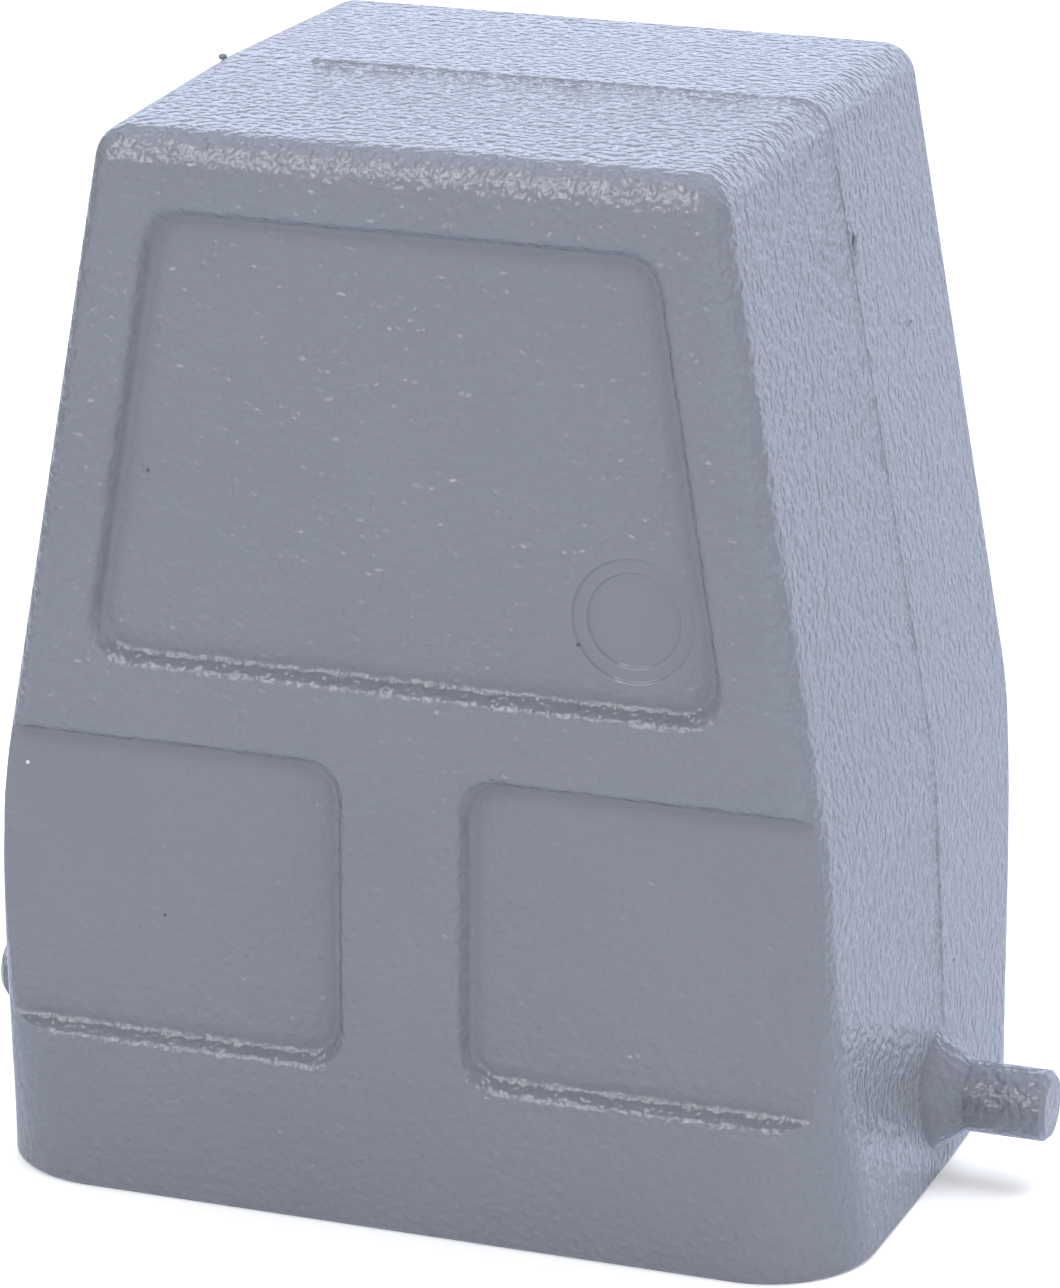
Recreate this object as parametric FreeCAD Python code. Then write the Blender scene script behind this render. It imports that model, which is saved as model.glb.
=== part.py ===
# Cable hood of a rectangular industrial connector: one die casting with two locking pegs.
# Origin at the centre of the open rim, X along the length, Y across (front face at -Y), Z up.
# Sizes are in millimetres and degrees.
import FreeCAD
import Part
import math
import os

Vec = FreeCAD.Vector

# Outer form, full widths measured at the parting plane
rim_length = 60.0
rim_depth = 43.6
knee_length = 56.65
knee_height = 27.7
top_length = 41.5
top_depth = 41.95
hood_height = 71.45
knee_radius = 38.0
parting_draft = 1.05
rim_corner_radius = 7.5
upper_corner_radius = 2.1
top_edge_radius = 2.3
rim_edge_chamfer = 0.25

# Walls and hollow
end_wall = 3.2
face_wall = 3.4
top_wall = 3.3
hollow_corner_radius = 3.0
roof_edge_chamfer = 2.0

# Recesses of the two long faces, outlines measured at the sharp lip
recess_depth = 1.0
recess_wall_angle = 57.0
recess_edge_radius = 0.6
recess_corner_radius = 3.0
field_lower_side_margin = 5.1
field_upper_side_margin = 4.8
field_top_margin = 5.05
field_bottom_height = 36.45
panel_top_height = 31.6
panel_bottom_height = 10.6
panel_bar_width = 7.75

# Shallow dish with two steps in the front field
dish_centre_x = 15.1
dish_centre_height = 42.7
dish_outer_radius = 4.05
dish_inner_radius = 3.1
dish_step_depth = 0.15

# Locking pegs
peg_radius = 2.36
peg_tip_x = 37.25
peg_height = 5.65
peg_tip_chamfer = 0.35
peg_root_radius = 4.0
peg_root_length = 2.1

# Screw columns for the contact insert
screw_spacing_x = 44.0
screw_spacing_y = 27.0
screw_core_radius = 1.65
screw_hole_depth = 10.0
column_radius = 4.0
column_face_height = 13.0

# Tapped cable entry in the sloping end at -X
entry_core_radius = 11.69
entry_pad_radius = 15.0
entry_pad_height = 0.8
entry_pad_chamfer = 0.35
entry_height = 51.5
entry_inner_face_x = 15.5
entry_mouth_chamfer = 0.8

# Length of cutting blocks, well past every outer size, and the length below which points coincide
reach = 4.0 * max(rim_length, rim_depth, hood_height)
touch = 0.0001


def half_space(point, outward):
    """Block that fills everything on the outward side of a plane through point."""
    block = Part.makeBox(reach, reach, reach, Vec(-reach / 2, -reach / 2, 0))
    block.Placement = FreeCAD.Placement(point, FreeCAD.Rotation(Vec(0, 0, 1), outward))
    return block


def polygon_face(points):
    """Flat face through the given corner points."""
    return Part.Face(Part.makePolygon(points + [points[0]]))


def frustum(lower, upper):
    """Solid between two matching polygons, with one flat side for each pair of edges."""
    count = len(lower)
    faces = [polygon_face(lower), polygon_face(upper)]
    for i in range(count):
        j = (i + 1) % count
        faces.append(polygon_face([lower[i], lower[j], upper[j], upper[i]]))
    solid = Part.Solid(Part.Shell(faces))
    if solid.Volume < 0:
        solid.reverse()
    return solid


def inset_outline(points, distance):
    """Corner points of a counter-clockwise outline moved inward by distance."""
    count = len(points)
    moved = []
    for i in range(count):
        before = (points[i] - points[i - 1]).normalize()
        after = (points[(i + 1) % count] - points[i]).normalize()
        inward_before = Vec(-before.y, before.x, 0)
        inward_after = Vec(-after.y, after.x, 0)
        bisector = inward_before + inward_after
        scale = distance / (1.0 + inward_before.dot(inward_after))
        moved.append(points[i] + bisector * scale)
    return moved


def end_half_length(height):
    """Half-length of the sharp-edged outer form at a height above the rim."""
    if height <= knee_height:
        return (rim_length + (knee_length - rim_length) * height / knee_height) / 2
    share = (height - knee_height) / (hood_height - knee_height)
    return (knee_length + (top_length - knee_length) * share) / 2


def end_prism(side, wall, top, base, slant):
    """Prism behind one end: lower straight, knee arc and upper straight, run across the depth.

    wall is the distance inside the outer form, slant the sideways drift per unit of depth.
    """
    low = Vec(side * (end_half_length(base) - wall), 0, base)
    knee = Vec(side * (knee_length / 2 - wall), 0, knee_height)
    high = Vec(side * (end_half_length(top) - wall), 0, top)
    radius = knee_radius - wall
    down = (low - knee).normalize()
    up = (high - knee).normalize()
    angle = down.getAngle(up)
    inward = (down + up).normalize()
    start = knee + down * (radius / math.tan(angle / 2))
    end = knee + up * (radius / math.tan(angle / 2))
    middle = knee + inward * (radius / math.sin(angle / 2) - radius)
    far_low = Vec(-side * rim_length, 0, base)
    far_high = Vec(-side * rim_length, 0, top)
    edges = [
        Part.LineSegment(low, start).toShape(),
        Part.Arc(start, middle, end).toShape(),
        Part.LineSegment(end, high).toShape(),
        Part.LineSegment(high, far_high).toShape(),
        Part.LineSegment(far_high, far_low).toShape(),
        Part.LineSegment(far_low, low).toShape(),
    ]
    return Part.Face(Part.Wire(edges)).extrude(Vec(-side * slant * rim_depth, -rim_depth, 0))


def lean_normal():
    """Outward direction of the leaning front face."""
    return Vec(0, -hood_height, (rim_depth - top_depth) / 2).normalize()


def sharp_half():
    """Front half of the outer form before its edges are rounded."""
    slant = math.tan(math.radians(parting_draft))
    half = end_prism(1, 0, hood_height, 0, slant).common(end_prism(-1, 0, hood_height, 0, slant))
    half = half.cut(half_space(Vec(0, 0, hood_height), Vec(0, -slant, 1)))
    half = half.cut(half_space(Vec(0, -rim_depth / 2, 0), lean_normal()))
    return half.removeSplitter()


def rounding_rows(half):
    """Edge numbers with their two end radii.

    The corner radius falls from the rim to the knee and then stays the same up to the top.
    """
    rows = []
    for number, edge in enumerate(half.Edges, 1):
        ends = [vertex.Point for vertex in edge.Vertexes]
        heights = [point.z for point in ends]
        on_front = all(point.y < -top_depth / 4 for point in ends)
        at_top = all(height > knee_height for height in heights)
        across_end = at_top and abs(ends[0].y - ends[1].y) > top_depth / 4
        level = abs(heights[0] - heights[1]) < touch
        if on_front and min(heights) < knee_height / 4 and not level:
            if edge.valueAt(edge.FirstParameter).z < knee_height / 4:
                rows.append((number, rim_corner_radius, upper_corner_radius))
            else:
                rows.append((number, upper_corner_radius, rim_corner_radius))
        elif on_front and not level:
            rows.append((number, upper_corner_radius, upper_corner_radius))
        elif (on_front and at_top) or across_end:
            rows.append((number, top_edge_radius, top_edge_radius))
    return rows


def rim_edges(half):
    """Outer edges of the open rim on the front half."""
    found = []
    for edge in half.Edges:
        on_rim = abs(edge.BoundBox.ZMax) < touch and abs(edge.BoundBox.ZMin) < touch
        on_parting = abs(edge.BoundBox.YMin) < touch
        if on_rim and not on_parting:
            found.append(edge)
    return found


def rounded_half(half):
    """Front half with its corner, top and end edges rounded and its rim chamfered."""
    document = FreeCAD.newDocument("hood_form")
    base = document.addObject("Part::Feature", "sharp_half")
    base.Shape = half
    rounding = document.addObject("Part::Fillet", "rounded_half")
    rounding.Base = base
    rounding.Edges = rounding_rows(half)
    document.recompute()
    shape = rounding.Shape.copy()
    FreeCAD.closeDocument(document.Name)
    return shape.makeChamfer(rim_edge_chamfer, rim_edges(shape))


def face_placement():
    """Frame of the front face: x along the length, y up the face, z out of it."""
    lean = math.degrees(math.atan2((rim_depth - top_depth) / 2, hood_height))
    return FreeCAD.Placement(Vec(0, -rim_depth / 2, 0), FreeCAD.Rotation(Vec(1, 0, 0), 90 - lean))


def loop_edges(shape, height, skip):
    """Edges that lie at one height of a recess tool, apart from those that skip says."""
    found = []
    for edge in shape.Edges:
        box = edge.BoundBox
        if abs(box.ZMin - height) < touch and abs(box.ZMax - height) < touch and not skip(edge):
            found.append(edge)
    return found


def recess_tool(outline, rounded_corners, skip):
    """Cutter for a recess with sloping walls, a filleted floor and a rounded lip."""
    inset = recess_depth / math.tan(math.radians(recess_wall_angle))
    floor = [point - Vec(0, 0, recess_depth) for point in inset_outline(outline, inset)]
    tool = frustum(outline, floor)
    corners = []
    for edge in tool.Edges:
        ends = [vertex.Point for vertex in edge.Vertexes]
        upright = abs(ends[0].z - ends[1].z) > recess_depth / 2
        if upright and any((end - corner).Length < touch for end in ends for corner in rounded_corners):
            corners.append(edge)
    tool = tool.makeFillet(recess_corner_radius, corners)
    tool = tool.makeFillet(recess_edge_radius, loop_edges(tool, -recess_depth, skip))
    margin = 2 * recess_edge_radius
    xs = [point.x for point in outline]
    ys = [point.y for point in outline]
    size = (max(xs) - min(xs) + 2 * margin, max(ys) - min(ys) + 2 * margin)
    mouth = Part.makeBox(size[0], size[1], recess_depth, Vec(min(xs) - margin, min(ys) - margin, 0))
    open_tool = tool.fuse(mouth).removeSplitter()
    lip = [edge for edge in loop_edges(open_tool, 0, skip) if is_inside(edge, mouth)]
    return open_tool.makeFillet(recess_edge_radius, lip)


def is_inside(edge, block):
    """True for an edge that doesn't lie on the outline of a block."""
    box = edge.BoundBox
    outer = block.BoundBox
    on_x = min(abs(box.XMin - outer.XMin), abs(box.XMax - outer.XMax)) < touch
    on_y = min(abs(box.YMin - outer.YMin), abs(box.YMax - outer.YMax)) < touch
    return not (on_x or on_y)


def field_tool():
    """Cutter for the large field, whose sides follow the sloping ends."""
    top = hood_height - field_top_margin
    low_half = end_half_length(field_bottom_height) - field_lower_side_margin
    top_half = end_half_length(top) - field_upper_side_margin
    outline = [
        Vec(-low_half, field_bottom_height, 0),
        Vec(low_half, field_bottom_height, 0),
        Vec(top_half, top, 0),
        Vec(-top_half, top, 0),
    ]
    return recess_tool(outline, outline, lambda edge: False)


def panel_tool(side):
    """Cutter for one lower panel, which runs out through the corner of the hood."""
    inner = side * panel_bar_width / 2
    outer = side * rim_length
    left, right = min(inner, outer), max(inner, outer)
    outline = [
        Vec(left, panel_bottom_height, 0),
        Vec(right, panel_bottom_height, 0),
        Vec(right, panel_top_height, 0),
        Vec(left, panel_top_height, 0),
    ]
    inner_corners = [point for point in outline if abs(point.x - inner) < touch]

    def far_side(edge):
        """True for an edge beyond the end of the hood."""
        return all(side * vertex.Point.x > rim_length / 2 for vertex in edge.Vertexes)

    return recess_tool(outline, inner_corners, far_side)


def dish_tool():
    """Cutter for the round dish, which goes down in two steps from the floor of the front field."""
    slope = dish_step_depth / math.tan(math.radians(recess_wall_angle))
    steps = []
    for level, radius in enumerate((dish_outer_radius, dish_inner_radius), 1):
        centre = Vec(dish_centre_x, dish_centre_height, -recess_depth - level * dish_step_depth)
        steps.append(Part.makeCone(radius - slope, radius + slope, 2 * dish_step_depth, centre))
    return steps[0].fuse(steps[1])


def face_recesses(with_dish):
    """All recess cutters of one long face, in the frame of the front face."""
    tools = [field_tool(), panel_tool(1), panel_tool(-1)]
    if with_dish:
        tools.append(dish_tool())
    for tool in tools:
        tool.Placement = face_placement().multiply(tool.Placement)
    return tools


def outer_form():
    """Closed outer form of the casting: two drafted halves with their recesses."""
    front = rounded_half(sharp_half())
    back = front.mirror(Vec(0, 0, 0), Vec(0, 1, 0))
    for tool in face_recesses(True):
        front = front.cut(tool)
    for tool in face_recesses(False):
        back = back.cut(tool.mirror(Vec(0, 0, 0), Vec(0, 1, 0)))
    return front.fuse(back)


def entry_axis():
    """Direction out of the cable entry, square to the sloping end at -X."""
    rise = hood_height - knee_height
    run = (knee_length - top_length) / 2
    return Vec(-rise, 0, run).normalize()


def entry_face_point():
    """Centre of the cable entry on the sloping end."""
    return Vec(-end_half_length(entry_height), 0, entry_height)


def entry_pad():
    """Low round seat around the cable entry, outside the sloping end."""
    axis = entry_axis()
    sunk = end_wall / 2
    start = entry_face_point() - axis * sunk
    pad = Part.makeCylinder(entry_pad_radius, sunk + entry_pad_height, start, axis)
    centre = entry_face_point() + axis * entry_pad_height
    rim = [edge for edge in pad.Edges if edge.isClosed() and edge.CenterOfMass.isEqual(centre, touch)]
    return pad.makeChamfer(entry_pad_chamfer, rim)


def entry_bore():
    """Core hole of the cable entry thread with its chamfered mouth."""
    axis = entry_axis()
    mouth = entry_face_point() + axis * entry_pad_height
    depth = 2 * (end_half_length(entry_height) - entry_inner_face_x)
    bore = Part.makeCylinder(entry_core_radius, depth, mouth, axis * -1)
    run = 2 * entry_mouth_chamfer
    start = mouth + axis * entry_mouth_chamfer
    return bore.fuse(Part.makeCone(entry_core_radius + run, entry_core_radius, run, start, axis * -1))


def entry_backing():
    """Thicker wall behind the cable entry: an arched pad that runs up to the roof."""
    start = Vec(-end_half_length(0), 0, entry_height)
    length = end_half_length(0) - entry_inner_face_x
    arch = Part.makeCylinder(entry_pad_radius, length, start, Vec(1, 0, 0))
    upper = Part.makeBox(
        length, 2 * entry_pad_radius, hood_height - entry_height, start - Vec(0, entry_pad_radius, 0)
    )
    return arch.fuse(upper)


def hollow():
    """Inside of the hood, open at the rim, with rounded corners and chamfered roof edges."""
    roof = hood_height - top_wall
    base = -end_wall
    prism = end_prism(1, end_wall, roof, base, 0).common(end_prism(-1, end_wall, roof, base, 0))
    prism = prism.cut(half_space(Vec(0, face_wall - rim_depth / 2, 0), lean_normal()))
    prism = prism.removeSplitter()
    corners = []
    for edge in prism.Edges:
        ends = [vertex.Point for vertex in edge.Vertexes]
        in_front = all(point.y < -touch for point in ends)
        if in_front and abs(ends[0].z - ends[1].z) > touch:
            corners.append(edge)
    front = prism.makeFillet(hollow_corner_radius, corners)
    rim = []
    for edge in front.Edges:
        box = edge.BoundBox
        if box.ZMin > roof - touch and box.YMin < -touch:
            rim.append(edge)
    front = front.makeChamfer(roof_edge_chamfer, rim)
    return front.fuse(front.mirror(Vec(0, 0, 0), Vec(0, 1, 0))).removeSplitter()


def screw_places():
    """Centres of the four insert screws on the faces of their columns."""
    places = []
    for i in (-1, 1):
        for j in (-1, 1):
            places.append(Vec(i * screw_spacing_x / 2, j * screw_spacing_y / 2, column_face_height))
    return places


def screw_columns():
    """Columns that carry the insert, cast up into the corners of the roof."""
    length = hood_height - column_face_height
    return [Part.makeCylinder(column_radius, length, place) for place in screw_places()]


def screw_holes():
    """Cored blind holes for the insert screws, open at the column faces."""
    return [Part.makeCylinder(screw_core_radius, screw_hole_depth, place) for place in screw_places()]


def locking_peg(side):
    """Round peg with a conical root on one end of the hood, along the parting line."""
    wall = end_half_length(peg_height)
    root_end = wall + peg_root_length
    slope = (peg_root_radius - peg_radius) / peg_root_length
    sunk = end_wall / 2
    profile = Part.makePolygon([
        Vec(wall - sunk, 0, 0),
        Vec(wall - sunk, 0, peg_root_radius + sunk * slope),
        Vec(root_end, 0, peg_radius),
        Vec(peg_tip_x - peg_tip_chamfer, 0, peg_radius),
        Vec(peg_tip_x, 0, peg_radius - peg_tip_chamfer),
        Vec(peg_tip_x, 0, 0),
        Vec(wall - sunk, 0, 0),
    ])
    peg = Part.Face(profile).revolve(Vec(0, 0, 0), Vec(1, 0, 0), 360)
    if side < 0:
        peg = peg.mirror(Vec(0, 0, 0), Vec(1, 0, 0))
    peg.translate(Vec(0, 0, peg_height))
    return peg


def hood_casting():
    """The whole casting."""
    core = hollow()
    for column in screw_columns():
        core = core.cut(column)
    core = core.cut(entry_backing())
    body = outer_form().fuse([entry_pad(), locking_peg(1), locking_peg(-1)])
    body = body.cut(core)
    body = body.cut(entry_bore())
    for hole in screw_holes():
        body = body.cut(hole)
    return body.removeSplitter()


os.makedirs("parts", exist_ok=True)
casting = hood_casting()
casting.exportStep("parts/hood_casting.step")
print("hood_casting valid", casting.isValid(), "solids", len(casting.Solids))
print("volume mm3", round(casting.Volume, 1), "box", casting.BoundBox)
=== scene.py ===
import bmesh
import bpy
import logging
import math
from dataclasses import dataclass
from enum import Enum
from typing import Sequence

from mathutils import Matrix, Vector


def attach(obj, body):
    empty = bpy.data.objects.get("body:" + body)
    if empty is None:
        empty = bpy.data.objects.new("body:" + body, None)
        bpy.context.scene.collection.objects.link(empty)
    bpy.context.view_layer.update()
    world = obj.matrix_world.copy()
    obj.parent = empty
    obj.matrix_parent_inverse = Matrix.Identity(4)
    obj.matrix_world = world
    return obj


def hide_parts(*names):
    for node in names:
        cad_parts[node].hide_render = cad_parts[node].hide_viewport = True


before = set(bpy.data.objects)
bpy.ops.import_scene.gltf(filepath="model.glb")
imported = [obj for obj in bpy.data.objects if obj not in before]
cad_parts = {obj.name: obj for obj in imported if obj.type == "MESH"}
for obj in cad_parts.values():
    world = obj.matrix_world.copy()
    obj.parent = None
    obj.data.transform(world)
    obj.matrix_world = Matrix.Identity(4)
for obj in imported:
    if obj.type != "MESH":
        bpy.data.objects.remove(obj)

LOG = logging.getLogger("cable_hood")
Colour = tuple[float, float, float]


class Tree:
    """Small helper that adds and links the nodes of a shader or geometry tree."""

    def __init__(self, tree: bpy.types.NodeTree) -> None:
        """Keeps the tree and empties it."""
        self.tree = tree
        tree.nodes.clear()

    def add(self, kind: str, links: dict | None = None, **settings: object) -> bpy.types.Node:
        """Adds one node.

        Args:
            kind: the node's type, such as ShaderNodeBump.
            links: an output socket to link, or a value to set, for each input name or number.
            settings: the node's own properties.

        Returns:
            The new node.
        """
        node = self.tree.nodes.new(kind)
        for name, value in settings.items():
            setattr(node, name, value)
        for key, value in (links or {}).items():
            if isinstance(value, bpy.types.NodeSocket):
                self.tree.links.new(value, node.inputs[key])
            else:
                node.inputs[key].default_value = value
        return node

    def maths(self, operation: str, *values: object) -> bpy.types.NodeSocket:
        """Adds a Math node and returns its result."""
        return self.add("ShaderNodeMath", dict(enumerate(values)), operation=operation).outputs[0]

    def vector(self, operation: str, *values: object) -> bpy.types.NodeSocket:
        """Adds a Vector Math node and returns its vector."""
        return self.add("ShaderNodeVectorMath", dict(enumerate(values)), operation=operation).outputs[0]

    def scaled(self, vector: object, factor: object) -> bpy.types.NodeSocket:
        """Adds a Vector Math node that scales a vector."""
        return self.add("ShaderNodeVectorMath", {0: vector, "Scale": factor}, operation="SCALE").outputs[0]

    def dot(self, vector: object, other: object) -> bpy.types.NodeSocket:
        """Adds a Vector Math node and returns the dot product of two vectors."""
        return self.add("ShaderNodeVectorMath", {0: vector, 1: other}, operation="DOT_PRODUCT").outputs["Value"]

    def ranged(self, value: object, low: float, high: float) -> bpy.types.NodeSocket:
        """Stretches a value from 0..1 to low..high and returns the result."""
        return self.clamped(value, 0.0, 1.0, low, high)

    def clamped(self, value: object, start: float, end: float, low: object, high: object) -> bpy.types.NodeSocket:
        """Turns start..end into low..high, with nothing beyond these, and returns the result."""
        inputs = {"Value": value, "From Min": start, "From Max": end, "To Min": low, "To Max": high}
        return self.add("ShaderNodeMapRange", inputs).outputs[0]

    def blend(self, share: object, first: Colour, second: Colour) -> bpy.types.NodeSocket:
        """Mixes two colours.

        Args:
            share: the second colour's share, from 0 to 1.
            first: the first colour.
            second: the second colour.

        Returns:
            The mixed colour.
        """
        colours = {"Factor": share, 6: rgba(first), 7: rgba(second)}
        return self.add("ShaderNodeMix", colours, data_type="RGBA").outputs[2]


def rgba(colour: Colour) -> tuple[float, float, float, float]:
    """The colour with full opacity."""
    return (*colour, 1.0)


def new_object(name: str, data: bpy.types.ID) -> bpy.types.Object:
    """Makes an object at the origin and links it to the scene.

    Args:
        name: the object's name.
        data: its mesh, camera or lamp.

    Returns:
        The object.
    """
    made = bpy.data.objects.new(name, data)
    bpy.context.scene.collection.objects.link(made)
    return made


@dataclass(frozen=True)
class Backdrop:
    """White paper before and behind the object, as the gloss of the coat mirrors it.

    Angles are measured at the object: half the paper's width behind it and before it, and the
    height of its upper edge. Near is how far the floor's paper reaches sideways at the object,
    least the smallest distance that counts, and softness the share of an edge over which the
    paper fades. Ahead tells how bright the paper before the object is against the one behind
    it, and beside how bright the studio is beside and above the paper.
    """

    behind: float = math.radians(41.0)
    before: float = math.radians(70.0)
    top: float = math.radians(23.5)
    near: float = 0.12
    least: float = 0.0001
    softness: float = 0.06
    colour: Colour = (1.36, 1.54, 1.94)
    ahead: float = 0.67
    beside: float = 0.15

    def step(self, tree: Tree, value: bpy.types.NodeSocket, edge: float) -> bpy.types.NodeSocket:
        """Falls from 1 to 0 as the value passes an edge."""
        return tree.clamped(value, edge * (1 - self.softness), edge * (1 + self.softness), 1.0, 0.0)

    def share(self, tree: Tree, place: bpy.types.NodeSocket, near: float) -> bpy.types.NodeSocket:
        """Tells whether a place is on the paper.

        Args:
            tree: the helper of the floor's or the world's tree.
            place: a place on the floor, or a direction, seen from the origin.
            near: how far the paper reaches sideways at the object itself.

        Returns:
            1 on the paper, 0 beside it.
        """
        parts = tree.add("ShaderNodeSeparateXYZ", {0: place}).outputs
        sideways = tree.maths("SUBTRACT", tree.maths("ABSOLUTE", parts[0]), near)
        depth = tree.maths("MAXIMUM", tree.maths("ABSOLUTE", parts[1]), self.least)
        ratio = tree.maths("DIVIDE", sideways, depth)
        front = tree.maths("LESS_THAN", parts[1], 0.0)
        ahead = tree.maths("MULTIPLY", front, self.step(tree, ratio, math.tan(self.before)))
        ahead = tree.maths("MULTIPLY", ahead, self.ahead)
        back = tree.maths("SUBTRACT", 1.0, front)
        return tree.maths("MULTIPLY_ADD", back, self.step(tree, ratio, math.tan(self.behind)), ahead)

    def mirrored(self, tree: Tree, share: bpy.types.NodeSocket) -> bpy.types.NodeSocket:
        """Colour that a reflection shows for a share of the paper."""
        return tree.blend(share, (self.beside,) * 3, self.colour)


def new_material(name: str) -> tuple[bpy.types.Material, Tree]:
    """Makes an empty node material.

    Args:
        name: the material's name.

    Returns:
        The material and its tree helper.
    """
    material = bpy.data.materials.new(name)
    material.use_nodes = True
    return material, Tree(material.node_tree)


class Recipe(Tree):
    """Geometry Nodes tree with named inputs, which turns a plain source mesh into a finished piece."""

    def __init__(self, name: str, inputs: dict[str, str]) -> None:
        """Makes the tree with a Geometry input and output.

        Args:
            name: the name of the tree.
            inputs: the socket type for each further input.
        """
        super().__init__(bpy.data.node_groups.new(name, "GeometryNodeTree"))
        self.identifiers: dict[str, str] = {}
        for key, kind in {"Geometry": "NodeSocketGeometry", **inputs}.items():
            socket = self.tree.interface.new_socket(name=key, in_out="INPUT", socket_type=kind)
            self.identifiers[key] = socket.identifier
        self.tree.interface.new_socket(name="Geometry", in_out="OUTPUT", socket_type="NodeSocketGeometry")
        self.given = self.add("NodeGroupInput").outputs

    def finish(self, shape: bpy.types.NodeSocket) -> None:
        """Ends the tree in Realize Instances, smooth shading and Set Material.

        Args:
            shape: the finished geometry.
        """
        real = self.add("GeometryNodeRealizeInstances", {0: shape})
        smooth = self.add("GeometryNodeSetShadeSmooth", {"Geometry": real.outputs[0]})
        dressed = self.add(
            "GeometryNodeSetMaterial", {"Geometry": smooth.outputs[0], "Material": self.given["Material"]}
        )
        self.add("NodeGroupOutput", {0: dressed.outputs[0]})

    def noise(self, size: bpy.types.NodeSocket, seed: bpy.types.NodeSocket) -> bpy.types.NodeSocket:
        """Noise at the point's place.

        Args:
            size: the size of a feature, in metres.
            seed: how far the pattern is moved.

        Returns:
            The noise, from -1 to 1.
        """
        scale = self.maths("DIVIDE", 1.0, size)
        place = self.vector("ADD", self.add("GeometryNodeInputPosition").outputs[0], seed)
        node = self.add("ShaderNodeTexNoise", {"Vector": place, "Scale": scale, "Detail": 2.0})
        return self.maths("MULTIPLY_ADD", node.outputs[0], 2.0, -1.0)

    def make(self, name: str, source: bpy.types.Mesh, values: dict[str, object]) -> bpy.types.Object:
        """Runs the tree on a source mesh.

        Args:
            name: the new piece's name.
            source: the mesh that the tree starts from.
            values: a value for each named input.

        Returns:
            The piece as a plain mesh object with no modifier.
        """
        base = new_object(name + "_source", source)
        modifier = base.modifiers.new(name, "NODES")
        modifier.node_group = self.tree
        for key, value in values.items():
            modifier[self.identifiers[key]] = value
        graph = bpy.context.evaluated_depsgraph_get()
        mesh = bpy.data.meshes.new_from_object(base.evaluated_get(graph))
        mesh.name = name
        bpy.data.objects.remove(base)
        LOG.info("%s: %d faces", name, len(mesh.polygons))
        return new_object(name, mesh)


@dataclass(frozen=True)
class Thread:
    """Screw thread cut into the wall of a round hole.

    The hole has a core radius, a place on its axis where the thread starts, and the direction
    and length of the threaded run. Sizes are in metres, and the tool's radius and the groove's
    depth are shares of the pitch.
    """

    radius: float
    pitch: float
    start: tuple[float, float, float]
    axis: tuple[float, float, float]
    length: float
    steps: int = 48
    tool: float = 0.41
    depth: float = 0.47

    def points(self) -> list[Vector]:
        """Points of the helix that the middle of the cutting tool follows.

        Returns:
            The points.
        """
        axis = Vector(self.axis).normalized()
        first = axis.orthogonal().normalized()
        second = axis.cross(first)
        reach = self.radius + self.pitch * (self.depth - self.tool)
        count = round(self.steps * self.length / self.pitch)
        points = []
        for i in range(count + 1):
            angle = 2 * math.pi * i / self.steps
            around = first * math.cos(angle) + second * math.sin(angle)
            points.append(Vector(self.start) + axis * (self.length * i / count) + around * reach)
        return points


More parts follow.
